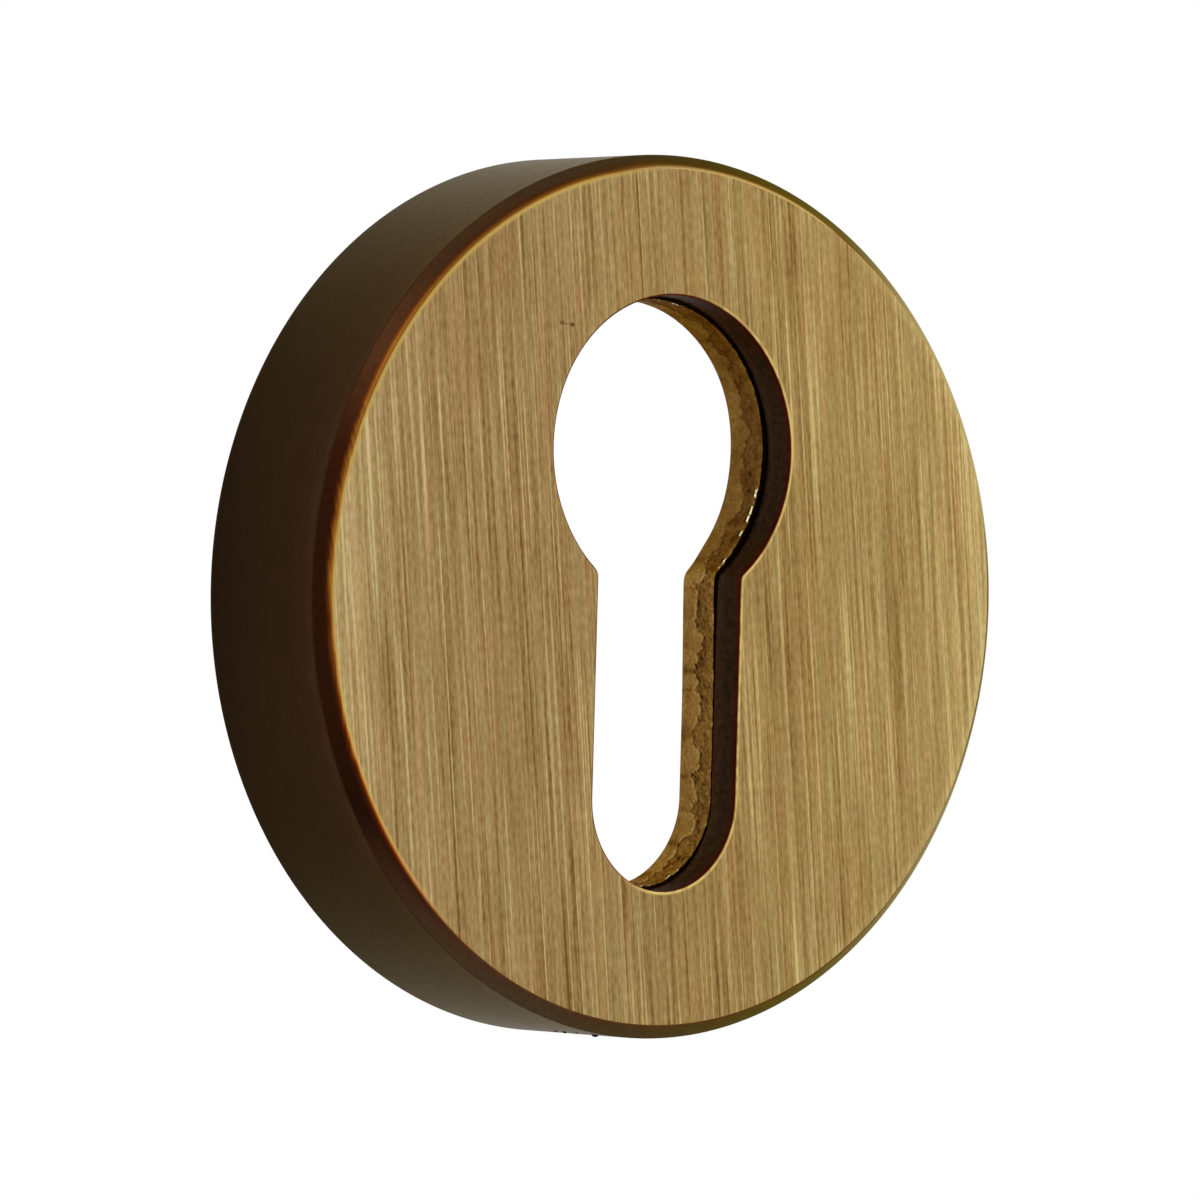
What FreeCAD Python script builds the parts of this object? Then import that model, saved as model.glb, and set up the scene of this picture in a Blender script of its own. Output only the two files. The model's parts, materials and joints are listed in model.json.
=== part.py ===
import FreeCAD, Part
import math
import os
import Sketcher
from FreeCAD import Vector

# Round escutcheon for a euro-profile lock cylinder. A turned cup, the cover, hides a forged
# under-rose that is screwed to the door, and a grub screw below locks the two together.
# The frame stands as on the door: +Z up, +Y into the door, the door's face at Y = 0.

# Driving dimensions in millimetres: alias, value, meaning
SIZES = [
    ("cover_diameter", 50.0, "outside of the cover"),
    ("cover_depth", 10.0, "from the door to the cover's front face"),
    ("cover_face", 2.1, "thickness of the cover's face"),
    ("cover_wall", 1.6, "thickness of the cover's rim"),
    ("cover_chamfer", 0.75, "bevel round the cover's front edge"),
    ("cover_back_break", 0.05, "bevel on the rim's outer edge at the door"),
    ("head_diameter", 17.5, "round head of the cover's cut-out"),
    ("slot_width", 10.5, "straight slot of the cover's cut-out"),
    ("cutout_height", 33.7, "top of the head to the bottom of the slot"),
    ("head_rise", 8.3, "centre of the head above the cover's centre"),
    ("cutout_corner", 0.8, "radius where the head runs into the slot"),
    ("rose_inset", 0.2, "how far the under-rose's cut-out stands inside the cover's"),
    ("face_gap", 0.1, "air between the cover's face and the under-rose"),
    ("rim_gap", 0.15, "air between the cover's rim and the under-rose"),
    ("rose_web", 2.7, "thickness of the under-rose's web"),
    ("rose_skirt", 2.0, "thickness of the under-rose's skirt"),
    ("rose_bevel", 0.6, "bevel round the under-rose's front edge"),
    ("rose_corner", 0.8, "forged radius between web and skirt"),
    ("screw_hole", 4.0, "hole for a door screw"),
    ("screw_sink", 7.0, "width of the countersink for its head"),
    ("screw_sink_angle", 90.0, "angle of the countersink"),
    ("boss_wall", 1.6, "metal round a screw hole"),
    ("boss_inset", 0.65, "from a boss to the edge of the under-rose"),
    ("grub_thread", 3.0, "diameter of the grub screw"),
    ("grub_length", 5.0, "length of the grub screw"),
    ("grub_height", 4.6, "centre of the grub screw above the door"),
    ("grub_recess", 0.4, "depth of the grub screw below the rim's surface"),
    ("grub_socket", 1.5, "hexagon socket across its flats"),
    ("grub_socket_depth", 1.5, "depth of the socket"),
    ("grub_bevel", 0.3, "bevel on both ends of the grub screw"),
    ("grub_clearance", 0.15, "air between the grub screw and the hole in the rim"),
    ("thread_gap", 0.05, "air between the grub screw and its tapped hole"),
    ("grub_runout", 0.5, "tapped hole past the tip of the grub screw"),
    ("grub_boss_wall", 1.2, "metal round the tapped hole"),
]

# Values that more than one piece is built from
COVER_RADIUS = "(sizes.cover_diameter / 2)"
ROSE_RADIUS = "(sizes.cover_diameter / 2 - sizes.cover_wall - sizes.rim_gap)"
ROSE_FRONT = "(sizes.cover_depth - sizes.cover_face - sizes.face_gap)"
ROSE_BACK = "(" + ROSE_FRONT + " - sizes.rose_web)"
BOSS_RADIUS = "(sizes.screw_hole / 2 + sizes.boss_wall)"
SCREW_OFFSET = "(" + ROSE_RADIUS + " - " + BOSS_RADIUS + " - sizes.boss_inset)"
GRUB_TIP = "(" + COVER_RADIUS + " - sizes.grub_recess - sizes.grub_length)"
TAPPED_RADIUS = "(sizes.grub_thread / 2 + sizes.thread_gap)"
TAPPED_END = "(" + GRUB_TIP + " - sizes.grub_runout)"


doc = FreeCAD.newDocument("escutcheon")
sheet = doc.addObject("Spreadsheet::Sheet", "sizes")
for row, (alias, number, meaning) in enumerate(SIZES, start=1):
    sheet.set("A%d" % row, meaning)
    sheet.set("B%d" % row, str(number))
    sheet.setAlias("B%d" % row, alias)
doc.recompute()


def value(expression):
    """The number that an expression in the sheet's sizes comes to."""
    return float(sheet.evalExpression(expression.replace("sizes.", "")))


def new_body(label):
    body = doc.addObject("PartDesign::Body", label)
    body.Label = label
    return body


def new_sketch(body, role, name, offset=None):
    """A sketch on the body's own plane, moved along the plane's normal by an expression."""
    sketch = body.newObject("Sketcher::SketchObject", name)
    plane = next(feature for feature in body.Origin.OriginFeatures if feature.Role == role)
    sketch.AttachmentSupport = [(plane, "")]
    sketch.MapMode = "FlatFace"
    if offset:
        sketch.setExpression("AttachmentOffset.Base.z", offset)
    return sketch


def drive(sketch, name, kind, references, expression):
    """A named dimension of a sketch, bound to the sheet."""
    index = sketch.addConstraint(Sketcher.Constraint(kind, *references, value(expression)))
    sketch.renameConstraint(index, name)
    sketch.setExpression("Constraints." + name, expression)


def place_point(sketch, point, axis, expression, name):
    """Puts a point on an axis, or at a bound distance from it. axis is X or Y."""
    if expression == "0":
        sketch.addConstraint(Sketcher.Constraint("PointOnObject", *point, -2 if axis == "X" else -1))
    else:
        drive(sketch, name, "Distance" + axis, (-1, 1) + point, expression)


def draw_outline(sketch, corners):
    """A closed outline of straight lines through corners given as pairs of expressions."""
    ends = [Vector(value(x), value(y), 0) for x, y in corners]
    for number, start in enumerate(ends):
        end = ends[(number + 1) % len(ends)]
        sketch.addGeometry(Part.LineSegment(start, end), False)
    for number in range(len(corners)):
        after = (number + 1) % len(corners)
        sketch.addConstraint(Sketcher.Constraint("Coincident", number, 2, after, 1))
    for number, (x, y) in enumerate(corners):
        before = corners[number - 1] if number else (None, None)
        if x == before[0]:
            sketch.addConstraint(Sketcher.Constraint("Vertical", number - 1))
        else:
            place_point(sketch, (number, 1), "X", x, "across_%d" % number)
        if y == before[1]:
            sketch.addConstraint(Sketcher.Constraint("Horizontal", number - 1))
        else:
            place_point(sketch, (number, 1), "Y", y, "along_%d" % number)


def draw_circle(sketch, x, y, radius, name):
    centre = Vector(value(x), value(y), 0)
    number = sketch.addGeometry(Part.Circle(centre, Vector(0, 0, 1), value(radius)), False)
    drive(sketch, name + "_radius", "Radius", (number,), radius)
    place_point(sketch, (number, 3), "X", x, name + "_across")
    place_point(sketch, (number, 3), "Y", y, name + "_along")


def draw_cutout(sketch, inset):
    """The cylinder's profile: a round head over a straight slot with a half-round foot."""
    head_radius = "(sizes.head_diameter / 2 - " + inset + ")"
    foot_radius = "(sizes.slot_width / 2 - " + inset + ")"
    head_height = "sizes.head_rise"
    foot_height = "(sizes.head_rise + sizes.head_diameter / 2 - sizes.cutout_height + sizes.slot_width / 2)"
    head = value(head_radius)
    foot = value(foot_radius)
    head_centre = Vector(0, value(head_height), 0)
    foot_centre = Vector(0, value(foot_height), 0)
    junction = math.acos(foot / head)
    shoulder = head_centre.y - math.sqrt(head ** 2 - foot ** 2)
    upward = Vector(0, 0, 1)
    sketch.addGeometry([
        Part.ArcOfCircle(Part.Circle(head_centre, upward, head), -junction, math.pi + junction),
        Part.LineSegment(Vector(-foot, shoulder, 0), Vector(-foot, foot_centre.y, 0)),
        Part.ArcOfCircle(Part.Circle(foot_centre, upward, foot), math.pi, 2 * math.pi),
        Part.LineSegment(Vector(foot, foot_centre.y, 0), Vector(foot, shoulder, 0)),
    ], False)
    head_arc, left_side, foot_arc, right_side = range(4)
    sketch.addConstraint([
        Sketcher.Constraint("Coincident", head_arc, 2, left_side, 1),
        Sketcher.Constraint("Tangent", left_side, 2, foot_arc, 1),
        Sketcher.Constraint("Tangent", foot_arc, 2, right_side, 1),
        Sketcher.Constraint("Coincident", right_side, 2, head_arc, 1),
        Sketcher.Constraint("Vertical", left_side),
        Sketcher.Constraint("Vertical", right_side),
        Sketcher.Constraint("PointOnObject", head_arc, 3, -2),
        Sketcher.Constraint("PointOnObject", foot_arc, 3, -2),
    ])
    drive(sketch, "head_radius", "Radius", (head_arc,), head_radius)
    drive(sketch, "foot_radius", "Radius", (foot_arc,), foot_radius)
    drive(sketch, "head_height", "DistanceY", (-1, 1, head_arc, 3), head_height)
    drive(sketch, "foot_height", "DistanceY", (-1, 1, foot_arc, 3), foot_height)
    return foot, shoulder


def revolve(body, sketch, name):
    """Turns a section round the escutcheon's axis."""
    turned = body.newObject("PartDesign::Revolution", name)
    turned.Profile = sketch
    turned.ReferenceAxis = (sketch, ["V_Axis"])
    turned.Angle = 360
    doc.recompute()
    return turned


def pad(body, sketch, length, name):
    raised = body.newObject("PartDesign::Pad", name)
    raised.Profile = sketch
    raised.setExpression("Length", length)
    doc.recompute()
    return raised


def pocket(body, sketch, name, length=None, through="One side", reverse=False):
    """Cuts a sketch into the body, right through unless a length is given."""
    before = body.Tip.Shape.Volume
    cut = body.newObject("PartDesign::Pocket", name)
    cut.Profile = sketch
    cut.Reversed = reverse
    if length:
        cut.setExpression("Length", length)
    else:
        cut.Type = "ThroughAll"
        cut.SideType = through
    doc.recompute()
    if cut.Shape.Volume >= before:
        raise RuntimeError(name + " cuts nothing")
    return cut


def edges_at(shape, fits):
    """Names of the edges whose points all pass a test."""
    names = []
    for number, edge in enumerate(shape.Edges, start=1):
        points = edge.discretize(Number=5)
        if all(fits(point) for point in points):
            names.append("Edge%d" % number)
    return names


def dress(body, kind, name, size_property, expression, fits):
    """A fillet or a chamfer on the edges that pass a test."""
    base = body.Tip
    names = edges_at(base.Shape, fits)
    if not names:
        raise RuntimeError(name + " finds no edge")
    dressed = body.newObject("PartDesign::" + kind, name)
    dressed.Base = (base, names)
    dressed.setExpression(size_property, expression)
    doc.recompute()
    return dressed


def near(first, second):
    return abs(first - second) < 1e-4


def on_ring(radius, y):
    """A test for points on a circle round the escutcheon's axis."""
    return lambda point: near(math.hypot(point.x, point.z), radius) and near(point.y, y)


def round_shoulders(body, foot, shoulder, radius):
    """Rounds the two corners where the head of a cut-out runs into its slot."""
    dress(body, "Fillet", "shoulders", "Radius", radius,
          lambda point: near(abs(point.x), foot) and near(point.z, shoulder))


def make_cover():
    """The cup: a flat face with the cut-out, and a rim that reaches the door."""
    body = new_body("cover")
    inner_radius = "(sizes.cover_diameter / 2 - sizes.cover_wall)"
    inner_face = "-(sizes.cover_depth - sizes.cover_face)"
    section = new_sketch(body, "XY_Plane", "cover_section")
    draw_outline(section, [
        ("0", "-sizes.cover_depth"),
        (COVER_RADIUS + " - sizes.cover_chamfer", "-sizes.cover_depth"),
        (COVER_RADIUS, "-(sizes.cover_depth - sizes.cover_chamfer)"),
        (COVER_RADIUS, "-sizes.cover_back_break"),
        (COVER_RADIUS + " - sizes.cover_back_break", "0"),
        (inner_radius, "0"),
        (inner_radius, inner_face),
        ("0", inner_face),
    ])
    revolve(body, section, "cover_cup")
    cutout = new_sketch(body, "XZ_Plane", "cover_cutout_profile")
    foot, shoulder = draw_cutout(cutout, "0")
    pocket(body, cutout, "cover_cutout", through="Symmetric")
    round_shoulders(body, foot, shoulder, "sizes.cutout_corner")
    hole = new_sketch(body, "XY_Plane", "rim_hole_circle")
    draw_circle(hole, "0", "-sizes.grub_height", "(sizes.grub_thread / 2 + sizes.grub_clearance)", "rim_hole")
    pocket(body, hole, "rim_hole")
    return body


def make_under_rose():
    """The forged carrier: a web behind the cover's face, a skirt to the door, and three bosses."""
    body = new_body("under_rose")
    skirt_radius = "(" + ROSE_RADIUS + " - sizes.rose_skirt)"
    section = new_sketch(body, "XY_Plane", "rose_section")
    draw_outline(section, [
        ("0", "-" + ROSE_FRONT),
        (ROSE_RADIUS + " - sizes.rose_bevel", "-" + ROSE_FRONT),
        (ROSE_RADIUS, "-(" + ROSE_FRONT + " - sizes.rose_bevel)"),
        (ROSE_RADIUS, "0"),
        (skirt_radius, "0"),
        (skirt_radius, "-" + ROSE_BACK),
        ("0", "-" + ROSE_BACK),
    ])
    revolve(body, section, "rose_cup")
    dress(body, "Fillet", "web_corner", "Radius", "sizes.rose_corner",
          on_ring(value(skirt_radius), -value(ROSE_BACK)))

    bosses = new_sketch(body, "XZ_Plane", "boss_circles")
    draw_circle(bosses, "-" + SCREW_OFFSET, "0", BOSS_RADIUS, "left_boss")
    draw_circle(bosses, SCREW_OFFSET, "0", BOSS_RADIUS, "right_boss")
    pad(body, bosses, ROSE_BACK, "screw_bosses")

    half_width = "(" + TAPPED_RADIUS + " + sizes.grub_boss_wall)"
    boss_back = "(sizes.grub_height - " + half_width + ")"
    boss_top = "-(" + TAPPED_END + " - sizes.grub_boss_wall)"
    boss_foot = "-(" + ROSE_RADIUS + " - sizes.rose_skirt / 2)"
    block = new_sketch(body, "XZ_Plane", "grub_boss_outline", boss_back)
    draw_outline(block, [
        ("-" + half_width, boss_foot),
        (half_width, boss_foot),
        (half_width, boss_top),
        ("-" + half_width, boss_top),
    ])
    pad(body, block, ROSE_BACK + " - " + boss_back, "grub_boss")

    cutout = new_sketch(body, "XZ_Plane", "rose_cutout_profile")
    foot, shoulder = draw_cutout(cutout, "sizes.rose_inset")
    pocket(body, cutout, "rose_cutout", through="Symmetric")
    round_shoulders(body, foot, shoulder, "sizes.cutout_corner + sizes.rose_inset")

    tapped = new_sketch(body, "XY_Plane", "tapped_circle", "-" + ROSE_RADIUS)
    draw_circle(tapped, "0", "-sizes.grub_height", TAPPED_RADIUS, "tapped")
    pocket(body, tapped, "tapped_hole", length=ROSE_RADIUS + " - " + TAPPED_END, reverse=True)

    centres = new_sketch(body, "XZ_Plane", "screw_circles", ROSE_FRONT)
    draw_circle(centres, "-" + SCREW_OFFSET, "0", "sizes.screw_hole / 2", "left_screw")
    draw_circle(centres, SCREW_OFFSET, "0", "sizes.screw_hole / 2", "right_screw")
    before = body.Tip.Shape.Volume
    holes = body.newObject("PartDesign::Hole", "screw_holes")
    holes.Profile = centres
    doc.recompute()
    holes.ThreadType = "None"
    holes.DepthType = "ThroughAll"
    holes.HoleCutType = "Countersink"
    holes.setExpression("Diameter", "sizes.screw_hole")
    holes.setExpression("HoleCutDiameter", "sizes.screw_sink")
    holes.setExpression("HoleCutCountersinkAngle", "sizes.screw_sink_angle")
    doc.recompute()
    if holes.Shape.Volume >= before:
        raise RuntimeError("screw_holes cuts nothing")
    return body


def make_grub_screw():
    """A headless screw with a hexagon socket, upright through the bottom of the rim."""
    body = new_body("grub_screw")
    shank = new_sketch(body, "XY_Plane", "shank_circle")
    draw_circle(shank, "0", "0", "sizes.grub_thread / 2", "shank")
    pad(body, shank, "sizes.grub_length", "shank")
    radius = value("sizes.grub_thread / 2")
    dress(body, "Chamfer", "end_bevels", "Size", "sizes.grub_bevel",
          lambda point: near(math.hypot(point.x, point.y), radius)
          and (near(point.z, 0) or near(point.z, value("sizes.grub_length"))))
    socket = new_sketch(body, "XY_Plane", "socket_hexagon")
    corner_radius = "(sizes.grub_socket / sqrt(3))"
    reach = value(corner_radius)
    corners = [Vector(reach * math.cos(math.radians(60 * turn)), reach * math.sin(math.radians(60 * turn)), 0)
               for turn in range(6)]
    for turn in range(6):
        sketch_line = Part.LineSegment(corners[turn], corners[(turn + 1) % 6])
        socket.addGeometry(sketch_line, False)
    guide = socket.addGeometry(Part.Circle(Vector(0, 0, 0), Vector(0, 0, 1), reach), True)
    for turn in range(6):
        socket.addConstraint(Sketcher.Constraint("Coincident", turn, 2, (turn + 1) % 6, 1))
        socket.addConstraint(Sketcher.Constraint("PointOnObject", turn, 1, guide))
    for turn in range(1, 6):
        socket.addConstraint(Sketcher.Constraint("Equal", 0, turn))
    socket.addConstraint(Sketcher.Constraint("Coincident", guide, 3, -1, 1))
    socket.addConstraint(Sketcher.Constraint("PointOnObject", 0, 1, -1))
    drive(socket, "corner_radius", "Radius", (guide,), corner_radius)
    pocket(body, socket, "socket", length="sizes.grub_socket_depth", reverse=True)
    body.setExpression("Placement.Base.y", "-sizes.grub_height")
    body.setExpression("Placement.Base.z", "-(" + COVER_RADIUS + " - sizes.grub_recess)")
    doc.recompute()
    return body


bodies = [make_cover(), make_under_rose(), make_grub_screw()]
doc.recompute()

for item in doc.Objects:
    if "Invalid" in item.State or "Error" in item.State:
        raise RuntimeError("failed: " + item.Name + " " + str(item.State))
for body in bodies:
    if body.Shape.isNull() or not body.Shape.isValid() or len(body.Shape.Solids) != 1:
        raise RuntimeError("not one valid solid: " + body.Label)

os.makedirs("parts", exist_ok=True)
for body in bodies:
    body.Shape.exportStep("parts/" + body.Label + ".step")
    box = body.Shape.BoundBox
    print(body.Label, "volume %.1f" % body.Shape.Volume,
          "from (%.2f, %.2f, %.2f) to (%.2f, %.2f, %.2f)"
          % (box.XMin, box.YMin, box.ZMin, box.XMax, box.YMax, box.ZMax))
print("screws are %.2f apart" % (2 * value(SCREW_OFFSET)))
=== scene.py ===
import json
import math

import bmesh
import bpy
from mathutils import Matrix, Vector, noise


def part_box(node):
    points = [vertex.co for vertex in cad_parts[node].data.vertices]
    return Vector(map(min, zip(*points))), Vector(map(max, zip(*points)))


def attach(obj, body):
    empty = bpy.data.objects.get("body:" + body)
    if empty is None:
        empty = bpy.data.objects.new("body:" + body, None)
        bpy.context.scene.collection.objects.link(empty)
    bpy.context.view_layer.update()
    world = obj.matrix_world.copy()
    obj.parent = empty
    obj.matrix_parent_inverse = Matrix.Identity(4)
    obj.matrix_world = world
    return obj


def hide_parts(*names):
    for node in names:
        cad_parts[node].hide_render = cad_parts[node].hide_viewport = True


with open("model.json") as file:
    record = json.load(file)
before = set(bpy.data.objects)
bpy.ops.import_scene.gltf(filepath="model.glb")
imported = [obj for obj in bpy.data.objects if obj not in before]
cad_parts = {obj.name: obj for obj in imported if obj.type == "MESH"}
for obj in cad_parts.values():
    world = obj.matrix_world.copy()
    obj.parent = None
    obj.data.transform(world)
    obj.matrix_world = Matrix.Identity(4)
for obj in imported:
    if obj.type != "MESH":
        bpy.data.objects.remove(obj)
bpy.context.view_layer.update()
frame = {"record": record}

# Round brass escutcheon seen from the front left. Metres, +Z up, +Y into the door.
MM = 0.001
MOUNTS = {mount["name"]: mount for mount in frame["record"]["mounts"]}

# Sizes of the cover
COVER_LOW, COVER_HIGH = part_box("cover")
COVER_RADIUS = COVER_HIGH.x
COVER_FRONT = COVER_LOW.y
COVER_FACE = MOUNTS["cylinder_head_in_cover"]["dims"]["length_mm"] * MM
COVER_WALL = 1.6 * MM
CHAMFER = 0.75 * MM
BACK_BREAK = 0.05 * MM
HEAD_RADIUS = MOUNTS["cylinder_head_in_cover"]["dims"]["r_mm"] * MM
HEAD_RISE = MOUNTS["cylinder_head_in_cover"]["pos_m"][2]
SLOT_HALF = 5.25 * MM
CUTOUT_HEIGHT = 33.7 * MM
CUTOUT_CORNER = 0.8 * MM
FOOT_RISE = HEAD_RISE + HEAD_RADIUS - CUTOUT_HEIGHT + SLOT_HALF
COVER_INSIDE = COVER_RADIUS - COVER_WALL
COVER_BACK = COVER_FRONT + COVER_FACE
EDGE_ROUND = 0.06 * MM
KEYHOLE_ROUND = 0.1 * MM
RIM_HOLE_RADIUS = 1.65 * MM

# Sizes of the under-rose
ROSE_LOW, ROSE_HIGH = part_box("under_rose")
ROSE_RADIUS = ROSE_HIGH.x
ROSE_FRONT = ROSE_LOW.y
ROSE_WEB = MOUNTS["cylinder_head"]["dims"]["length_mm"] * MM
ROSE_SKIRT = 2.0 * MM
ROSE_BEVEL = 0.6 * MM
ROSE_CORNER = 0.8 * MM
ROSE_BACK = ROSE_FRONT + ROSE_WEB
ROSE_INSIDE = ROSE_RADIUS - ROSE_SKIRT
ROSE_INSET = HEAD_RADIUS - MOUNTS["cylinder_head"]["dims"]["r_mm"] * MM
SCREW_OFFSET = MOUNTS["door_screws"]["dims"]["spacing_x_mm"] * MM / 2
SCREW_HOLE = MOUNTS["door_screws"]["dims"]["hole_r_mm"] * MM
SCREW_SINK = 3.5 * MM
BOSS_RADIUS = SCREW_HOLE + 1.6 * MM
GRUB_BOSS_HALF = 2.75 * MM
GRUB_BOSS_TOP = -17.9 * MM
TAPPED_RADIUS = 1.55 * MM
TAPPED_TOP = -19.1 * MM

# Sizes of the grub screw
GRUB_LOW, GRUB_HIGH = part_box("grub_screw")
GRUB_RADIUS = GRUB_HIGH.x
GRUB_HEIGHT = (GRUB_LOW.y + GRUB_HIGH.y) / 2
GRUB_SOCKET = 0.75 * MM
GRUB_SOCKET_DEPTH = 1.5 * MM
GRUB_BEVEL = 0.3 * MM
THREAD_PITCH = 0.5 * MM
THREAD_DEPTH = 0.16 * MM

# The camera, fitted to the photographed edges in a frame of 1200 by 1200 pixels
PHOTO_SIZE = 1200
CAMERA_DISTANCE = 494.35 * MM
CAMERA_AZIMUTH = math.radians(-39.381)
CAMERA_ELEVATION = math.radians(-0.567)
CAMERA_TURN = math.radians(-0.282)
CAMERA_TILT = math.radians(0.024)
CAMERA_ROLL = math.radians(1.574)
FOCAL_PIXELS = 8610.6
SENSOR = 36.0

# Points nearer to each other than this are joined
WELD_GAP = 0.002 * MM

# How far cutting tools run past the under-rose, and how deep its bosses sink into its web
TOOL_REACH = 0.5 * MM

# Rows of faces down the punched wall
WALL_ROWS = 45

# Directions on the part
RIGHT, INTO_DOOR, UP = (1, 0, 0), (0, 1, 0), (0, 0, 1)

# Direction of the brushing on the face, and its layers of scratches: the width and length of one in
# millimetres, how much the layer leans from the rest in radians, and its weight. Each layer has its
# own place in the noise
BRUSH_LEAN = math.radians(6.2)
BRUSH_SEED, BRUSH_SEED_STEP = 3.1, 9.7
BRUSH_LAYERS = [
    (0.24, 8.0, 0.0, 0.36),
    (0.15, 14.0, 0.004, 0.46),
    (0.26, 35.0, -0.003, 0.38),
    (0.15, 2.5, 0.0, 0.3),
]

# Radius in millimetres where the bevel starts. Wear and its painted highlight are measured out from there
BEVEL_START = (COVER_RADIUS - CHAMFER) / MM

# Tint of the metal where it is seen at a low angle
EDGE_TINT = (0.82, 0.73, 0.58, 1.0)
CHAMFER_TINT = (0.82, 0.75, 0.42, 1.0)
WALL_TINT = (0.54, 0.48, 0.46, 1.0)

# A nick in the face and a smudge on the rim: places, half-widths in millimetres, and strengths
FACE_NICK = [
    ((-8.44, -10.0, 15.11), (0.2, 1.0, 0.15), 0.75),
    ((-7.67, -10.0, 15.04), (0.2, 1.0, 0.16), 0.85),
    ((-8.05, -10.0, 15.08), (0.5, 1.0, 0.07), 0.45),
]
RIM_SMUDGE = ((-11.9, -8.5, -22.0), (0.4, 0.2, 0.4))

# Black specks on the rim near its bottom, in millimetres: place across, y, radius, and how far each
# stands out
RIM_SPECKS = [
    (-2.8, -7.8, 0.27, 0.13),
    (-3.4, -6.91, 0.1, 0.06),
    (-3.4, -5.84, 0.14, 0.09),
    (-3.4, -5.03, 0.11, 0.07),
]

# Patterns along the punched wall: the size of each in millimetres, and its own layer of the noise
TONGUES = (1.5, 3.1)
PETALS = (0.9, 21.4)
# Where the painted highlights lie on the burr
GLINT_SPOTS = (0.8, 17.3)
SCALLOPS = (0.5, 6.7)
RAGGED = (0.2, 8.4)

# The cover's paints, by their place in its list of materials
FACE_PAINT, BEVEL_PAINT, RIM_PAINT, WALL_PAINT, INSIDE_PAINT, SPECK_PAINT = range(6)

# Centre from which the whole keyhole's edge is seen, used to lay out the meshes
STAR = Vector((0.0, HEAD_RISE - math.sqrt(HEAD_RADIUS ** 2 - SLOT_HALF ** 2)))


def make_camera():
    """The photograph's camera: aimed near the origin, then rolled."""
    data = bpy.data.cameras.new("camera")
    data.sensor_width = SENSOR
    data.lens = FOCAL_PIXELS / PHOTO_SIZE * SENSOR
    data.clip_start = 0.01
    camera = bpy.data.objects.new("camera", data)
    bpy.context.scene.collection.objects.link(camera)
    bpy.context.scene.camera = camera
    place = direction(CAMERA_AZIMUTH, CAMERA_ELEVATION) * CAMERA_DISTANCE
    back = direction(CAMERA_AZIMUTH + CAMERA_TURN, CAMERA_ELEVATION + CAMERA_TILT)
    right = (-back).cross(Vector((0, 0, 1))).normalized()
    up = right.cross(-back)
    rolled_right = math.cos(CAMERA_ROLL) * right + math.sin(CAMERA_ROLL) * up
    rolled_up = -math.sin(CAMERA_ROLL) * right + math.cos(CAMERA_ROLL) * up
    axes = Matrix((rolled_right, rolled_up, back)).transposed()
    camera.matrix_world = Matrix.Translation(place) @ axes.to_4x4()


def direction(azimuth, elevation):
    """From the origin towards a viewer. Azimuth 0 is in front of the face, 90 to its right."""
    level = math.cos(elevation)
    return Vector((math.sin(azimuth) * level, -math.cos(azimuth) * level, math.sin(elevation)))


# Outlines


def arc_points(centre, radius, start, end, spacing, inward=False):
    """Points along an arc, each with the direction into the metal. The end point is left out."""
    steps = max(3, math.ceil(abs(end - start) * radius / spacing))
    found = []
    for step in range(steps):
        angle = start + (end - start) * step / steps
        ray = Vector((math.cos(angle), math.sin(angle)))
        found.append((centre + ray * radius, -ray if inward else ray))
    return found


def keyhole_outline(spacing):
    """The cover's keyhole, clockwise from the top as seen from the front: pairs of a point and
    the direction into the metal there."""
    head = Vector((0, HEAD_RISE))
    foot = Vector((0, FOOT_RISE))
    reach = HEAD_RADIUS + CUTOUT_CORNER
    side = SLOT_HALF + CUTOUT_CORNER
    corner = Vector((side, head.y - math.sqrt(reach ** 2 - side ** 2)))
    leave = math.atan2(corner.y - head.y, corner.x)
    right = arc_points(head, HEAD_RADIUS, math.pi / 2, leave, spacing)
    right += arc_points(corner, CUTOUT_CORNER, leave + math.pi, math.pi, spacing / 2, inward=True)
    straight = corner.y - foot.y
    steps = math.ceil(straight / spacing)
    for step in range(steps):
        right.append((Vector((SLOT_HALF, corner.y - straight * step / steps)), Vector((1, 0))))
    right += arc_points(foot, SLOT_HALF, 0, -math.pi / 2, spacing)
    bottom = (foot + Vector((0, -SLOT_HALF)), Vector((0, -1)))
    mirrored = [(Vector((-point.x, point.y)), Vector((-ray.x, ray.y))) for point, ray in right[1:]]
    return right + [bottom] + mirrored[::-1]


def spread_to_circle(outline, radius):
    """Where rays from the middle of the keyhole through its outline meet a circle."""
    found = []
    for point, _ in outline:
        ray = (point - STAR).normalized()
        along = STAR.dot(ray)
        reach = -along + math.sqrt(along ** 2 - STAR.length_squared + radius ** 2)
        found.append(STAR + ray * reach)
    return found


# Mesh building


def ring_at(points, y):
    return [Vector((point.x, y, point.y)) for point in points]


def offset(outline, distance):
    """The outline moved into the metal, or into the opening if the distance is negative."""
    return [point + ray * distance for point, ray in outline]


def circle_from(points, radius):
    """The same angles round the escutcheon's axis, on a circle of another radius."""
    return [point.normalized() * radius for point in points]


def rounded(start, corner, end, radius, steps=4):
    """Points that round a corner between two directions in a section of (reach, y) pairs."""
    start, corner, end = Vector(start), Vector(corner), Vector(end)
    before = corner + (start - corner).normalized() * radius
    after = corner + (end - corner).normalized() * radius
    found = []
    for step in range(steps + 1):
        share = step / steps
        first = before.lerp(corner, share)
        second = corner.lerp(after, share)
        found.append(first.lerp(second, share))
    return found


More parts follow.
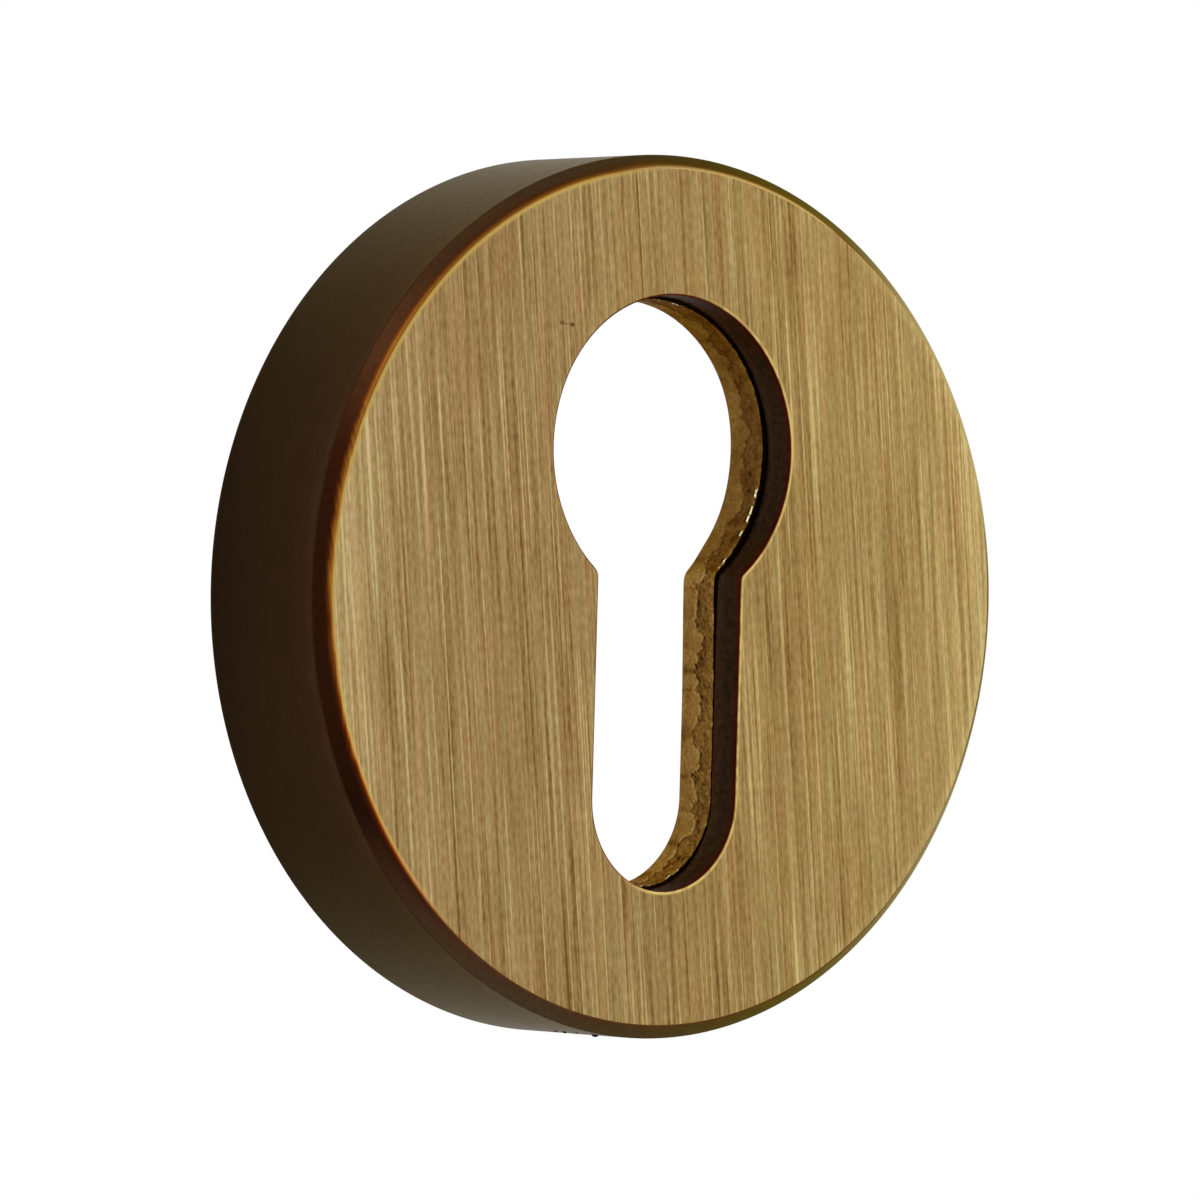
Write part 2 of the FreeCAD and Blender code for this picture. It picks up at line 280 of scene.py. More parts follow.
def section_points(corners, radii, spacing):
    """An open section with rounded corners: (reach, y) pairs, with extra points near each corner
    so that shading stays flat between them."""
    found = [Vector(corners[0])]
    for number in range(1, len(corners) - 1):
        found += rounded(corners[number - 1], corners[number], corners[number + 1], radii[number])
    found.append(Vector(corners[-1]))
    filled = [found[0]]
    for point in found[1:]:
        last = filled[-1].copy()
        gap = (point - last).length
        if gap > 4 * EDGE_ROUND:
            near_step = EDGE_ROUND / gap
            shares = [near_step]
            count = max(1, math.ceil(gap / spacing))
            shares += [step / count for step in range(1, count)]
            shares.append(1 - near_step)
            filled += [last.lerp(point, share) for share in shares]
        filled.append(point)
    return filled


def loft(name, rings, kinds, materials, values=None):
    """A closed skin through rings of equal length, the last joined to the first. kinds gives the
    material index of each strip, values a number for each point of the first rings by name."""
    mesh = bmesh.new()
    for key in values or {}:
        mesh.verts.layers.float.new(key)
    rows = [[mesh.verts.new(point) for point in ring] for ring in rings]
    for key, numbers in (values or {}).items():
        layer = mesh.verts.layers.float[key]
        for row, given in zip(rows, numbers):
            for vertex, number in zip(row, given):
                vertex[layer] = number
    count = len(rows[0])
    for number, row in enumerate(rows):
        after = rows[(number + 1) % len(rows)]
        for place in range(count):
            beside = (place + 1) % count
            face = mesh.faces.new((row[place], row[beside], after[beside], after[place]))
            face.material_index = kinds[number]
            face.smooth = True
    bmesh.ops.recalc_face_normals(mesh, faces=mesh.faces)
    return finish_mesh(name, mesh, materials)


def finish_mesh(name, mesh, materials=()):
    data = bpy.data.meshes.new(name)
    for material in materials:
        data.materials.append(material)
    mesh.to_mesh(data)
    mesh.free()
    piece = bpy.data.objects.new(name, data)
    bpy.context.scene.collection.objects.link(piece)
    return piece


def cylinder(radius, start, end, kind=0, steps=96, end_radius=None):
    """A round tool between two points, for cutting or adding. kind is the material index that it leaves."""
    mesh = bmesh.new()
    along = end - start
    turn = along.to_track_quat("Z", "Y").to_matrix().to_4x4()
    place = Matrix.Translation((start + end) / 2) @ turn
    bmesh.ops.create_cone(mesh, cap_ends=True, segments=steps, radius1=radius,
                          radius2=radius if end_radius is None else end_radius,
                          depth=along.length, matrix=place)
    for face in mesh.faces:
        face.material_index = kind
    return finish_mesh("tool", mesh)


def block(low, high):
    mesh = bmesh.new()
    size = Matrix.Diagonal((*(high - low), 1))
    bmesh.ops.create_cube(mesh, size=1, matrix=Matrix.Translation((low + high) / 2) @ size)
    return finish_mesh("tool", mesh)


def combine(piece, tool, operation):
    """Cuts a tool from the piece or joins it on, and deletes the tool."""
    change = piece.modifiers.new("change", "BOOLEAN")
    change.operation = operation
    change.solver = "EXACT"
    change.material_mode = "INDEX"
    change.object = tool
    graph = bpy.context.evaluated_depsgraph_get()
    data = bpy.data.meshes.new_from_object(piece.evaluated_get(graph))
    piece.modifiers.clear()
    piece.data = data
    bpy.data.objects.remove(tool)


def weld(piece):
    """Joins points that the cuts left almost on top of each other, and removes faces without area."""
    mesh = bmesh.new()
    mesh.from_mesh(piece.data)
    bmesh.ops.remove_doubles(mesh, verts=mesh.verts, dist=WELD_GAP)
    bmesh.ops.dissolve_degenerate(mesh, edges=mesh.edges, dist=WELD_GAP)
    bmesh.ops.triangulate(mesh, faces=[face for face in mesh.faces if len(face.verts) > 4])
    bmesh.ops.dissolve_degenerate(mesh, edges=mesh.edges, dist=WELD_GAP)
    mesh.to_mesh(piece.data)
    mesh.free()


def settle(piece, node):
    """Crisp edges, and the CAD node that the piece stands for."""
    weld(piece)
    piece.data.shade_smooth()
    piece.data.set_sharp_from_angle(angle=math.radians(38))
    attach(piece, "root")
    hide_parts(node)


# Materials


class Paint:
    """A material's node tree. Each method adds a node and gives its output."""

    def __init__(self, name, **uniform):
        self.material = bpy.data.materials.new(name)
        self.material.use_nodes = True
        self.tree = self.material.node_tree
        self.shader = self.tree.nodes["Principled BSDF"]
        for socket, number in uniform.items():
            self.shader.inputs[socket.replace("_", " ")].default_value = number
        self.place = self.add("ShaderNodeTexCoord").outputs["Object"]

    def add(self, kind, inputs=None, **settings):
        node = self.tree.nodes.new(kind)
        for key, setting in settings.items():
            setattr(node, key, setting)
        for socket, given in (inputs or {}).items():
            self.put(node.inputs[socket], given)
        return node

    def put(self, socket, given):
        if isinstance(given, bpy.types.NodeSocket):
            self.tree.links.new(given, socket)
        else:
            socket.default_value = given

    def maths(self, operation, *given):
        return self.add("ShaderNodeMath", dict(enumerate(given)), operation=operation).outputs[0]

    def times(self, *given):
        """The product of several values."""
        product = given[0]
        for number in given[1:]:
            product = self.maths("MULTIPLY", product, number)
        return product

    def plus(self, *given):
        """The sum of several values."""
        total = given[0]
        for number in given[1:]:
            total = self.maths("ADD", total, number)
        return total

    def dot(self, ray):
        """How far a point lies along a direction, in millimetres."""
        scaled = tuple(part / MM for part in ray)
        node = self.add("ShaderNodeVectorMath", {0: self.place, 1: scaled}, operation="DOT_PRODUCT")
        return node.outputs["Value"]

    def reach(self, across=(1, 0, 1), centre=(0, 0, 0)):
        """Distance from a line along one axis, in millimetres: the escutcheon's own, or another."""
        moved = self.add("ShaderNodeVectorMath", {0: self.place, 1: centre}, operation="SUBTRACT")
        scaled = tuple(part / MM for part in across)
        flat = self.add("ShaderNodeVectorMath", {0: moved.outputs["Vector"], 1: scaled},
                        operation="MULTIPLY")
        return self.length(flat.outputs["Vector"])

    def length(self, vector):
        return self.add("ShaderNodeVectorMath", {0: vector}, operation="LENGTH").outputs["Value"]

    def vector(self, x, y, z=0.0):
        return self.add("ShaderNodeCombineXYZ", {"X": x, "Y": y, "Z": z}).outputs["Vector"]

    def noise(self, size, vector=None, detail=1.0, roughness=0.5, seed=0.0):
        """Soft random values round 0.5, with features of about that size in millimetres."""
        if vector is None:
            vector = self.add("ShaderNodeVectorMath", {0: self.place, 1: (1 / MM,) * 3},
                              operation="MULTIPLY").outputs["Vector"]
        if seed:
            vector = self.add("ShaderNodeVectorMath", {0: vector, 1: (seed,) * 3},
                              operation="ADD").outputs["Vector"]
        node = self.add("ShaderNodeTexNoise", {"Vector": vector, "Scale": 1 / size, "Detail": detail,
                                               "Roughness": roughness})
        return node.outputs[0]

    def step(self, given, low, high, start=0.0, end=1.0):
        """A smooth rise from start to end while the value goes from low to high."""
        node = self.add("ShaderNodeMapRange",
                        {"Value": given, "From Min": low, "From Max": high, "To Min": start, "To Max": end},
                        interpolation_type="SMOOTHSTEP")
        return node.outputs["Result"]

    def ramp(self, given, stops):
        """Colours along a value: pairs of a place and a linear colour."""
        node = self.add("ShaderNodeValToRGB", {"Fac": given})
        elements = node.color_ramp.elements
        while len(elements) < len(stops):
            elements.new(0.5)
        for element, (place, colour) in zip(elements, stops):
            element.position = place
            element.color = (*colour, 1)
        return node.outputs["Color"]

    def shades(self, given, stops):
        """Colours along a measure: pairs of its value, rising, and a linear colour."""
        low, high = stops[0][0], stops[-1][0]
        share = self.add("ShaderNodeMapRange", {"Value": given, "From Min": low, "From Max": high})
        return self.ramp(share.outputs["Result"],
                         [((value - low) / (high - low), colour) for value, colour in stops])

    def mottled(self, colour, size, amount, detail=3.0):
        """The colour made lighter and darker by that share, in patches of about that size."""
        level = self.step(self.noise(size, detail=detail), 0.25, 0.75, 1 - amount, 1 + amount)
        return self.tinted(colour, level)

    def tinted(self, colour, tone):
        return self.mix(1.0, colour, tone, "MULTIPLY")

    def spot(self, centre, halves):
        """1 at a place on the surface, falling to 0 outside an ellipsoid. Sizes in millimetres."""
        distance = self.reach(tuple(1 / half for half in halves), tuple(part * MM for part in centre))
        return self.step(distance, 0.5, 1.1, 1.0, 0.0)

    def given(self, name):
        """A number that the mesh carries at each point."""
        return self.add("ShaderNodeAttribute", attribute_name=name).outputs["Fac"]

    def mix(self, share, first, second, blend="MIX"):
        node = self.add("ShaderNodeMix", data_type="RGBA", blend_type=blend)
        self.put(node.inputs[0], share)
        for socket, given in ((node.inputs[6], first), (node.inputs[7], second)):
            self.put(socket, (*given, 1) if isinstance(given, tuple) else given)
        return node.outputs[2]

    def bump(self, height, depth, strength=1.0):
        """A bump whose height of 1 stands for that depth in metres."""
        node = self.add("ShaderNodeBump", {"Height": height, "Distance": depth, "Strength": strength})
        self.put(self.shader.inputs["Normal"], node.outputs["Normal"])

    def colour(self, given):
        self.put(self.shader.inputs["Base Color"], given)

    def gloss(self, given):
        self.put(self.shader.inputs["Roughness"], given)


def srgb(red, green, blue):
    """A linear colour from its 8-bit screen values."""
    found = []
    for part in (red / 255, green / 255, blue / 255):
        found.append(part / 12.92 if part <= 0.04045 else ((part + 0.055) / 1.055) ** 2.4)
    return tuple(found)


def streaks(paint, across, along, lean, seed):
    """Fine parallel scratches: noise drawn out along the brushing. Sizes in millimetres."""
    angle = BRUSH_LEAN + lean
    sideways = paint.dot((math.cos(angle), 0, math.sin(angle)))
    lengthways = paint.dot((-math.sin(angle), 0, math.cos(angle)))
    vector = paint.vector(paint.maths("DIVIDE", sideways, across), paint.maths("DIVIDE", lengthways, along))
    return paint.noise(1.0, vector, detail=0.0, seed=seed)


def keyhole_reach(paint):
    """Distance out from the cover's keyhole, in millimetres."""
    head = paint.maths("SUBTRACT", paint.reach(centre=(0, 0, HEAD_RISE)), HEAD_RADIUS / MM)
    height = paint.dot(UP)
    above = paint.maths("MAXIMUM", paint.maths("SUBTRACT", height, HEAD_RISE / MM), 0.0)
    below = paint.maths("MINIMUM", paint.maths("SUBTRACT", height, FOOT_RISE / MM), 0.0)
    flat = paint.vector(paint.dot(RIGHT), paint.plus(above, below))
    slot = paint.maths("SUBTRACT", paint.length(flat), SLOT_HALF / MM)
    return paint.maths("SMOOTH_MIN", head, slot, 0.4)


def bright_burr(paint, colour, start, end):
    """Bare bright brass along the keyhole's right edge and foot, between two distances from it."""
    reach = keyhole_reach(paint)
    patches = paint.step(paint.noise(0.7, detail=1.0, seed=5.3), 0.3, 0.6, 0.45, 0.95)
    right_side = paint.step(paint.dot((1, 0, -0.15)), -1.5, 2.5)
    inside = paint.step(reach, start, start + 0.06)
    outside = paint.step(reach, end, end + 0.13, 1.0, 0.0)
    share = paint.times(patches, right_side, paint.times(inside, outside))
    return paint.mix(share, colour, srgb(212, 185, 110))


def edge_wear_and_highlight(paint):
    """How far past the start of the bevel a point lies, in millimetres, moved in and out by brush marks and
    further out at the top, and how much gold shows there: most on the left, where the rubbed brass is also
    a painted highlight."""
    # Most on the upper left, where the rubbed brass also stands for a painted highlight
    gold_and_highlight = paint.step(paint.dot((-0.95, 0, 0.31)), 6.0, 15.0)
    beside = paint.step(paint.maths("ABSOLUTE", paint.dot(UP)), 12.5, 7.0, 0.12, 1.0)
    brushed = paint.maths("MULTIPLY_ADD", streaks(paint, 0.17, 1.8, 0.0, 15.3), 0.2, -0.1)
    patchy = paint.maths("MULTIPLY_ADD", paint.noise(1.5, detail=2.0, seed=8.8), 0.14, -0.07)
    wander = paint.times(paint.plus(brushed, patchy), gold_and_highlight, beside)
    top = paint.step(paint.dot((0.17, 0, 0.98)), 22.3, 23.9, 0.0, -0.2)
    return paint.plus(paint.reach(), -BEVEL_START, wander, top), gold_and_highlight


def gilt(paint, place):
    """Brass rubbed bright where the face meets the bevel, and on the upper left a painted highlight as
    well, redder and in a sharper line on the lower left. Its stops are distances past the start of the
    bevel."""
    height = paint.dot(UP)
    upper = paint.shades(paint.plus(place, paint.step(height, 2.0, 10.0, 0.03, 0.0)), [
        (-0.3, srgb(192, 163, 94)),
        (-0.15, srgb(184, 151, 79)),
        (-0.05, srgb(166, 119, 49)),
        (0.03, srgb(140, 88, 27)),
        (0.11, srgb(112, 61, 19)),
        (0.2, srgb(81, 37, 11)),
        (0.3, srgb(58, 27, 8)),
    ])
    lower = paint.shades(paint.plus(place, paint.step(height, -6.0, -11.0, 0.0, 0.04)), [
        (-0.3, srgb(198, 170, 100)),
        (-0.2, srgb(210, 172, 92)),
        (-0.12, srgb(190, 136, 60)),
        (-0.05, srgb(150, 84, 26)),
        (0.03, srgb(100, 38, 6)),
        (0.11, srgb(66, 26, 10)),
        (0.25, srgb(46, 20, 8)),
    ])
    return paint.mix(paint.step(height, 0.0, -9.0), upper, lower)


def face_brushing(paint):
    """Fine upright scratches, above and below 0, stronger in some places than in others."""
    brushing = 0.0
    for number, (across, along, lean, weight) in enumerate(BRUSH_LAYERS):
        seed = BRUSH_SEED + BRUSH_SEED_STEP * number
        wave = paint.maths("SUBTRACT", streaks(paint, across, along, lean, seed), 0.5)
        brushing = paint.plus(brushing, paint.times(wave, weight))
    strength = paint.step(streaks(paint, 1.2, 13.0, 0.0, 61.3), 0.3, 0.7, 0.65, 1.35)
    return paint.times(brushing, strength)


def face_level(paint, brushing, place):
    """How light the face is, mostly from 0 to 1: its scratches, and painted light: paler strips towards its
    sides, and a painted highlight where it rounds over on the right.
    """
    grain = paint.maths("SUBTRACT", streaks(paint, 0.17, 0.5, 0.0, 33.9), 0.5)
    broad = paint.maths("SUBTRACT", streaks(paint, 1.5, 45.0, 0.0, 52.6), 0.5)
    side = paint.dot(RIGHT)
    # Painted highlight along the rounded edge on the right
    right_edge_highlight = paint.times(paint.step(side, 8.0, 16.0), paint.step(place, -0.75, -0.25))
    parts = [
        (brushing, 0.92),
        (grain, 0.4),
        (broad, 0.2),
        (paint.step(streaks(paint, 0.17, 18.0, 0.002, 71.9), 0.6, 0.75), 0.34),
        (paint.step(streaks(paint, 0.2, 12.0, -0.003, 83.5), 0.38, 0.2), -0.2),
        # Painted light across the face: lighter on the right and towards both sides, partly rubbed wear
        (paint.step(side, 0.0, 20.0), 0.06),
        (paint.step(paint.maths("ABSOLUTE", side), 14.0, 25.0), 0.15),
        (paint.step(side, -20.5, -24.0), 0.2),
        (paint.step(side, 20.5, 24.0), 0.1),
        (right_edge_highlight, 0.13),
    ]
    level = 0.41
    for part, weight in parts:
        level = paint.plus(level, paint.times(part, weight))
    return level


def face_colour(paint, level):
    """Brass by its level, cooler on the left, with redder and greener scratches and the nick."""
    colour = paint.ramp(level, [
        (0.0, srgb(110, 79, 38)),
        (0.25, srgb(138, 109, 63)),
        (0.5, srgb(158, 131, 82)),
        (0.75, srgb(178, 153, 101)),
        (1.0, srgb(200, 177, 122)),
    ])
    warmth = paint.mix(paint.step(paint.dot(RIGHT), -12.0, 12.0), (1.0, 1.0, 1.06), (1.0, 1.0, 0.93))
    cast = paint.mix(paint.step(streaks(paint, 0.3, 12.0, 0.0, 92.2), 0.35, 0.65),
                     (1.03, 0.985, 0.97), (0.97, 1.015, 1.01))
    colour = paint.tinted(paint.tinted(colour, warmth), cast)
    for centre, halves, strength in FACE_NICK:
        nick = paint.times(paint.spot(centre, halves), strength)
        colour = paint.mix(nick, colour, srgb(92, 58, 24))
    return colour


def brushed_face():
    """Brass brushed upright, lighter towards its left and right sides: painted light across the face, and
    partly rubbed wear.
    """
    paint = Paint("brushed_brass", Metallic=1.0, Anisotropic=0.6, Specular_Tint=(0.5, 0.5, 0.5, 1.0))
    brushing = face_brushing(paint)
    place, gold_and_highlight = edge_wear_and_highlight(paint)
    level = face_level(paint, brushing, place)
    share = paint.times(gold_and_highlight, paint.step(place, -0.4, -0.13))
    colour = paint.mix(share, face_colour(paint, level), gilt(paint, place))
    paint.colour(bright_burr(paint, colour, 0.0, 0.13))
    paint.gloss(paint.step(level, 0.0, 1.0, 0.42, 0.32))
    paint.bump(brushing, 0.006 * MM)
    along = paint.vector(-math.sin(BRUSH_LEAN), 0.0, math.cos(BRUSH_LEAN))
    paint.put(paint.shader.inputs["Tangent"], along)
    return paint.material


def bevel_patina(paint, bare_and_sheen):
    """The bevel's patina by height, painted lighter and greyer towards the top and bottom as a reflection
    of the pale surroundings, redder near the face there, and paler on the right as clean brass with a
    painted reflection.
    """
    height = paint.dot(UP)
    # Lighter towards the top and bottom: painted reflection of the pale surroundings
    patina = paint.shades(height, [
        (-23.0, srgb(76, 57, 40)),
        (-20.0, srgb(77, 54, 36)),
        (-17.0, srgb(68, 43, 29)),
        (-12.5, srgb(36, 18, 8)),
        (-6.0, srgb(42, 20, 8)),
        (8.0, srgb(43, 20, 8)),
        (15.5, srgb(49, 29, 15)),
        (21.0, srgb(64, 41, 24)),
        (24.5, srgb(60, 42, 29)),
    ])
    patina = paint.mottled(patina, 0.25, 0.14)
    # Greyer outwards towards the top and bottom: painted reflection
    outward = paint.step(paint.plus(paint.reach(), -BEVEL_START), 0.15, 0.7)
    across = paint.mix(outward, (1.06, 0.94, 0.88), (0.97, 1.08, 1.18))
    ends = paint.step(paint.maths("ABSOLUTE", height), 12.0, 22.0)
    patina = paint.mix(ends, patina, paint.tinted(patina, across))
    # Paler on the right: clean brass and a painted reflection where the bevel is seen at a low angle
    return paint.mix(bare_and_sheen, patina, srgb(178, 156, 110))


def chamfer_patina():
    """Dark patina, rubbed through to gold where the bevel leaves the face on the left, with a painted
    highlight there, and to paler brass on the right, partly a painted reflection at the low angle."""
    paint = Paint("chamfer_patina", Metallic=1.0, Roughness=0.36, Specular_Tint=CHAMFER_TINT)
    height = paint.dot(UP)
    # Paler on the right: clean brass and a painted reflection where the bevel is seen at a low angle
    halves = paint.maths("MAXIMUM", paint.step(height, 2.0, 7.0),
                         paint.step(height, -6.0, -12.0, 0.0, 0.4))
    bare_and_sheen = paint.times(paint.step(paint.dot(RIGHT), 12.0, 22.0), halves)
    patina = bevel_patina(paint, bare_and_sheen)
    place, gold_and_highlight = edge_wear_and_highlight(paint)
    plain = paint.mix(paint.step(place, -0.13, -0.03), srgb(160, 132, 83), srgb(100, 58, 28))
    plain = paint.mix(bare_and_sheen, plain, srgb(166, 148, 101))
    plain = paint.mix(paint.step(place, -0.05, 0.07), plain, patina)
    dulled = paint.tinted(gilt(paint, place), paint.step(height, 2.0, 10.0, 1.0, 0.62))
    worn_gold_and_highlight = paint.mix(paint.step(place, 0.05, 0.33), dulled, patina)
    paint.colour(paint.mix(gold_and_highlight, plain, worn_gold_and_highlight))
    paint.bump(paint.noise(0.4, detail=4.0, roughness=0.7), 0.003 * MM)
    return paint.material


def rim_patina():
    """Dark brown patina, darker towards the door, and painted lighter and greyer at the top and bottom as a
    reflection of the pale surroundings.
    """
    paint = Paint("rim_patina", Metallic=1.0, Specular_Tint=EDGE_TINT)
    depth = paint.dot(INTO_DOOR)
    wander = paint.maths("MULTIPLY_ADD", paint.noise(3.0, detail=2.0), 0.8, -0.4)
    colour = paint.shades(paint.plus(depth, wander), [
        (-9.3, srgb(47, 29, 17)),
        (-9.0, srgb(53, 33, 20)),
        (-8.4, srgb(46, 28, 17)),
        (-7.0, srgb(41, 24, 15)),
        (-4.5, srgb(36, 21, 12)),
        (-2.0, srgb(30, 16, 9)),
        (-0.5, srgb(25, 12, 7)),
        (0.0, srgb(30, 18, 12)),
    ])
    colour = paint.mottled(paint.mottled(colour, 1.6, 0.08), 0.15, 0.16)
    height = paint.maths("ABSOLUTE", paint.dot(UP))
    tone = paint.mix(paint.step(height, 7.0, 16.0), (1.0, 0.98, 0.95), (1.0, 0.82, 0.76))
    # Painted reflection: lighter and greyer towards the top and bottom, where the rim is seen at a low
    # angle
    tone = paint.mix(paint.step(height, 18.5, 24.0), tone, (1.3, 1.8, 1.7))
    rubbed = paint.times(paint.step(height, 6.0, 14.0), paint.step(depth, -9.0, -9.25))
    lighter = paint.mix(rubbed, (1.0, 1.0, 1.0), (1.35, 1.35, 1.35))
    colour = paint.tinted(paint.tinted(colour, tone), lighter)
    paint.colour(paint.mix(paint.spot(*RIM_SMUDGE), colour, srgb(20, 13, 8)))
    paint.gloss(paint.step(paint.noise(0.5, detail=3.0), 0.3, 0.7, 0.38, 0.42))
    paint.bump(paint.noise(0.25, detail=3.0, roughness=0.7), 0.002 * MM)
    return paint.material


def wall_patina():
    """The keyhole's wall: dark brown, with a dark red line just under the bright front edge."""
    paint = Paint("wall_patina", Metallic=1.0, Specular_Tint=WALL_TINT)
    colour = paint.shades(paint.dot(INTO_DOOR), [
        (-9.98, srgb(90, 40, 10)),
        (-9.94, srgb(66, 17, 3)),
        (-9.8, srgb(55, 18, 9)),
        (-9.68, srgb(50, 27, 18)),
        (-9.5, srgb(45, 30, 19)),
        (-9.2, srgb(43, 30, 19)),
        (-8.8, srgb(43, 30, 19)),
        (-8.3, srgb(52, 36, 22)),
        (-7.9, srgb(52, 36, 22)),
    ])
    paint.colour(bright_burr(paint, paint.mottled(colour, 0.3, 0.3, detail=4.0), 0.02, 0.13))
    paint.gloss(0.4)
    paint.bump(paint.noise(0.4, detail=4.0, roughness=0.7), 0.006 * MM)
    return paint.material


def inside_patina(name, light, dark):
    """Dull patina of the surfaces that don't show from the front, and, darker, painted shade on the
    under-rose's front face beside the keyhole.
    """
    paint = Paint(name, Metallic=1.0, Specular_Tint=EDGE_TINT)
    mottle = paint.noise(0.6, detail=4.0, roughness=0.7)
    paint.colour(paint.ramp(mottle, [(0.3, dark), (0.7, light)]))
    paint.gloss(paint.step(mottle, 0.3, 0.7, 0.45, 0.55))
    paint.bump(mottle, 0.01 * MM)
    return paint.material


def raw_brass():
    """Bare forged brass. On the punched wall the mesh says how much lighter each point is, painted
    highlight and shade included, and where a near-white painted highlight lies on the burr.
    """
    paint = Paint("raw_brass", Metallic=1.0, Specular_Tint=(0.6, 0.46, 0.36, 1.0))
    grain = paint.noise(0.2, detail=3.0, roughness=0.65)
    light = paint.plus(paint.given("lighter"), paint.maths("MULTIPLY_ADD", grain, 0.9, 0.15))
    colour = paint.ramp(light, [
        (0.0, srgb(50, 30, 13)),
        (0.3, srgb(100, 69, 32)),
        (0.55, srgb(122, 89, 42)),
        (0.8, srgb(142, 108, 55)),
        (1.0, srgb(162, 130, 74)),
    ])
    # Darker above the slot, in the keyhole's head
    darker_above = paint.mix(paint.step(paint.dot(UP), 1.0, 4.5), (1.0, 1.0, 1.0), (0.72, 0.67, 0.62))
    # Near-white painted highlight on the burr's edge
    painted_glint = paint.given("painted_glint")
    paint.colour(paint.mix(painted_glint, paint.tinted(colour, darker_above), srgb(250, 238, 180)))
    paint.gloss(paint.step(painted_glint, 0.0, 1.0, 0.42, 0.25))
    paint.bump(grain, 0.02 * MM)
    return paint.material


def black_specks():
    """Dull black specks near the bottom of the rim."""
    paint = Paint("black_specks", Specular_IOR_Level=0.2)
    grain = paint.noise(0.1, detail=2.0)
    paint.colour(paint.ramp(grain, [(0.3, srgb(8, 6, 4)), (0.7, srgb(22, 16, 11))]))
    paint.gloss(paint.step(grain, 0.3, 0.7, 0.6, 0.8))
    return paint.material


def black_steel():
    """Black oxide on steel."""
    paint = Paint("black_steel", Metallic=1.0)
    grain = paint.noise(0.2, detail=3.0)
    paint.colour(paint.ramp(grain, [(0.3, (0.012, 0.012, 0.013)), (0.7, (0.035, 0.034, 0.033))]))
    paint.gloss(paint.step(grain, 0.3, 0.7, 0.3, 0.45))
    paint.bump(grain, 0.005 * MM)
    return paint.material


# Pieces


def cover_wall_rings(outline):
    """The keyhole's wall, from its back edge to its front edge, both rounded."""
    section = section_points(
        [(1 * MM, COVER_BACK), (0, COVER_BACK), (0, COVER_FRONT), (1 * MM, COVER_FRONT)],
        [0, EDGE_ROUND, KEYHOLE_ROUND, 0], 0.3 * MM)
    return [ring_at(offset(outline, reach), y) for reach, y in section[1:-1]
            if reach <= 1.01 * KEYHOLE_ROUND]


def flat_rings(start, end, shares, y):
    """Rings at one depth, part of the way from one outline to another."""
    rings = []
    for share in shares:
        rings.append(ring_at([first.lerp(second, share) for first, second in zip(start, end)], y))
    return rings


def cover_rim_rings(circle):
    """The bevel, the rim, its back edge and the inside of the rim, each ring with its paint."""
    bevel_start = COVER_RADIUS - CHAMFER
    section = section_points(
        [(bevel_start - 1 * MM, COVER_FRONT),
         (bevel_start, COVER_FRONT),
         (COVER_RADIUS, COVER_FRONT + CHAMFER),
         (COVER_RADIUS, -BACK_BREAK),
         (COVER_RADIUS - BACK_BREAK, 0),
         (COVER_INSIDE, 0),
         (COVER_INSIDE, COVER_BACK),
         (COVER_INSIDE - 1 * MM, COVER_BACK)],
        [0, EDGE_ROUND, EDGE_ROUND, 0.03 * MM, 0.03 * MM, EDGE_ROUND, EDGE_ROUND, 0], 0.8 * MM)
    found = []
    for reach, y in section:
        if y < COVER_FRONT + EDGE_ROUND / 2 and reach < bevel_start - EDGE_ROUND:
            continue
        if y < COVER_FRONT + CHAMFER - EDGE_ROUND / 2 and reach > bevel_start - 2 * EDGE_ROUND:
            paint = BEVEL_PAINT
        elif reach > COVER_RADIUS - 1.5 * BACK_BREAK:
            paint = RIM_PAINT
        elif y < COVER_BACK + EDGE_ROUND / 2 and reach < COVER_INSIDE - EDGE_ROUND:
            continue
        else:
            paint = INSIDE_PAINT
        found.append((ring_at(circle_from(circle, reach), y), paint))
    return found


def make_cover():
    """The turned cup, from the keyhole's wall over the face and round the rim to the inside."""
    outline = keyhole_outline(0.13 * MM)
    circle = spread_to_circle(outline, COVER_RADIUS - CHAMFER - 2 * EDGE_ROUND)
    rings = cover_wall_rings(outline)
    paints = [WALL_PAINT] * (len(rings) - 1) + [FACE_PAINT]
    inner_edge = offset(outline, KEYHOLE_ROUND + EDGE_ROUND)
    face_rings = flat_rings(inner_edge, circle, (0.0, 0.01, 0.1, 0.3, 0.5, 0.7, 0.9, 0.99), COVER_FRONT)
    rings += face_rings
    paints += [FACE_PAINT] * len(face_rings)
    for ring, paint in cover_rim_rings(circle):
        rings.append(ring)
        paints.append(paint)
    back_circle = circle_from(circle, COVER_INSIDE - 2 * EDGE_ROUND)
    back_edge = offset(outline, 2 * EDGE_ROUND)
    back_rings = flat_rings(back_circle, back_edge, (0.0, 0.01, 0.3, 0.7, 0.99, 1.0), COVER_BACK)
    rings += back_rings
    paints += [INSIDE_PAINT] * len(back_rings)

    cover = loft("cover_turned", rings, paints, [
        brushed_face(), chamfer_patina(), rim_patina(), wall_patina(),
        inside_patina("inside_patina", srgb(90, 66, 36), srgb(50, 34, 18)), black_specks()])
    start = Vector((0, GRUB_HEIGHT, -COVER_RADIUS - 1 * MM))
    end = Vector((0, GRUB_HEIGHT, -COVER_INSIDE + 1 * MM))
    combine(cover, cylinder(RIM_HOLE_RADIUS, start, end, kind=INSIDE_PAINT), "DIFFERENCE")
    combine(cover, rim_specks(), "UNION")
    settle(cover, "cover")


